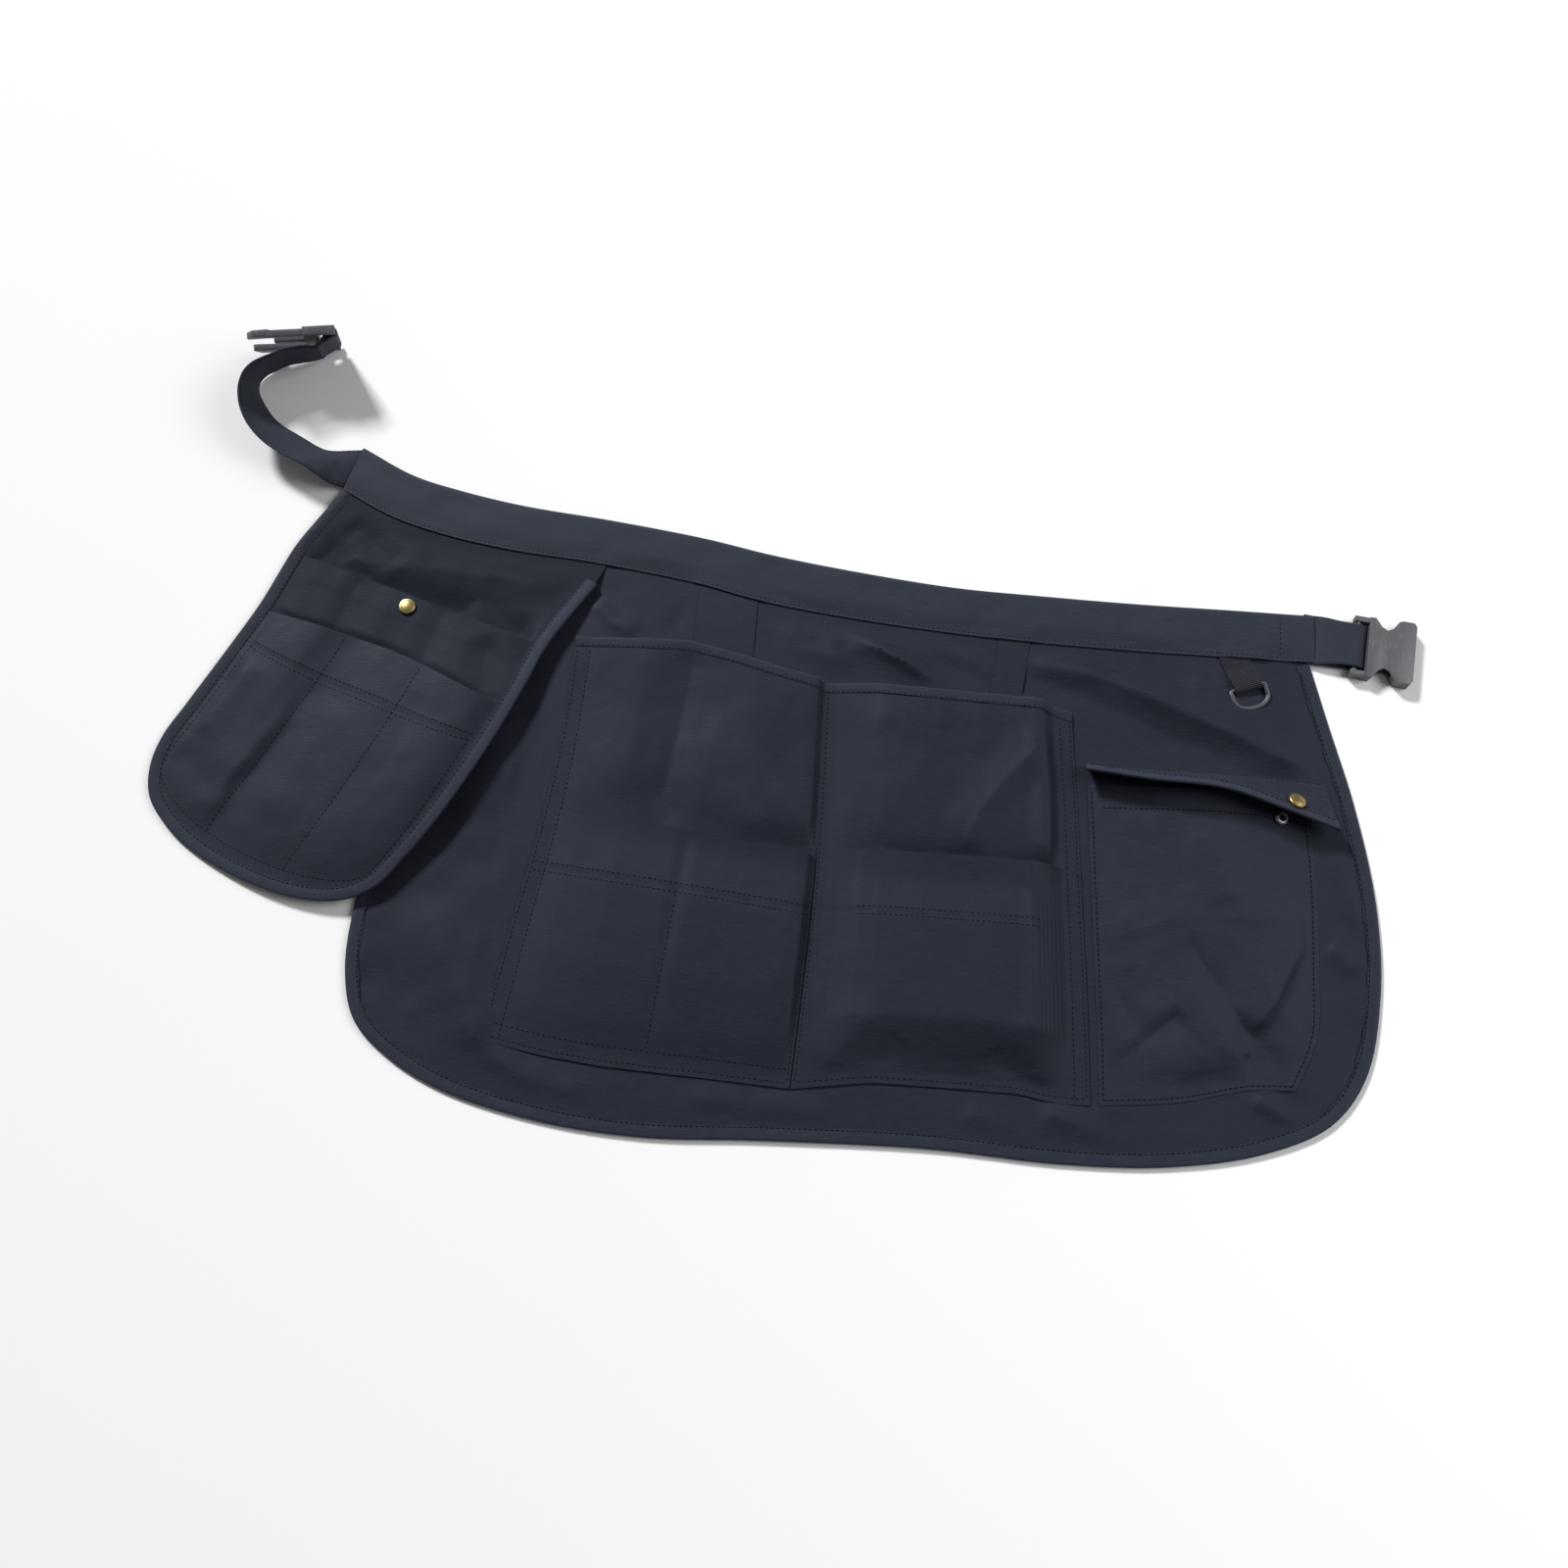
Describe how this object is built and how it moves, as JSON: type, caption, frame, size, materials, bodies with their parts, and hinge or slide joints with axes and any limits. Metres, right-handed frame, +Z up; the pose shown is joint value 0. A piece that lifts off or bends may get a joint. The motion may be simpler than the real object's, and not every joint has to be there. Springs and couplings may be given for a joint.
{
  "type": "hairdresser waist pouch apron",
  "caption": "Dark cloth waist apron with tool pockets, a swung-out side pouch, a lifted snap flap, a waistband with a side-release buckle and a ring on a tab, lying flat.",
  "frame": {"origin": "on the surface it lies on, under the middle of the whole's extents", "axes": "+X along the waistband to the viewer's right, +Y from the hem to the waistband, +Z up out of the front"},
  "size_m": [0.895, 0.57, 0.0533],
  "materials": {
    "panel_cloth": "matte woven",
    "pocket_cloth": "matte woven",
    "band_cloth": "matte woven",
    "binding_tape": "ribbed tape",
    "webbing": "coarse weave",
    "plastic": "fine grain",
    "brass": "antique polished"
  },
  "bodies": {
    "apron": {"apron_panel": "panel_cloth", "waistband": "band_cloth", "tab_left": "band_cloth", "tab_right": "band_cloth", "hem_binding": "binding_tape", "pouch_binding": "binding_tape", "centre_mouth_binding": "binding_tape", "flap_binding": "binding_tape", "pouch_panel": "pocket_cloth", "pouch_upper_pocket": "pocket_cloth", "pouch_low_left": "pocket_cloth", "pouch_low_middle": "pocket_cloth", "pouch_low_right": "pocket_cloth", "centre_pocket": "pocket_cloth", "centre_low_left": "pocket_cloth", "centre_low_right": "pocket_cloth", "flap_pocket": "pocket_cloth", "flap": "pocket_cloth", "strap_left": "webbing", "strap_right": "webbing", "ring_webbing": "webbing", "pouch_snap": "brass", "flap_snap": "brass", "snap_socket": "brass"},
    "ring": {"d_ring": "plastic"},
    "buckle_socket": {"female_buckle": "plastic"},
    "buckle_plug": {"male_buckle": "plastic"}
  },
  "joints": [
    {"name": "ring_turn", "type": "hinge", "parent": "apron", "child": "ring", "pos_m": [0.32794, 0.09279, 0.00565], "axis": [-0.9135, -0.4067, 0], "range_deg": [0, 140]},
    {"name": "buckle_socket_turn", "type": "hinge", "parent": "apron", "child": "buckle_socket", "pos_m": [0.40444, 0.13639, 0.00475], "axis": [-0.0523, -0.9986, 0], "range_deg": [0, 120]},
    {"name": "buckle_plug_turn", "type": "hinge", "parent": "apron", "child": "buckle_plug", "pos_m": [-0.38456, 0.27499, 0.0244], "axis": [-0.1966, 0.2651, -0.944], "range_deg": [0, 140]}
  ]
}
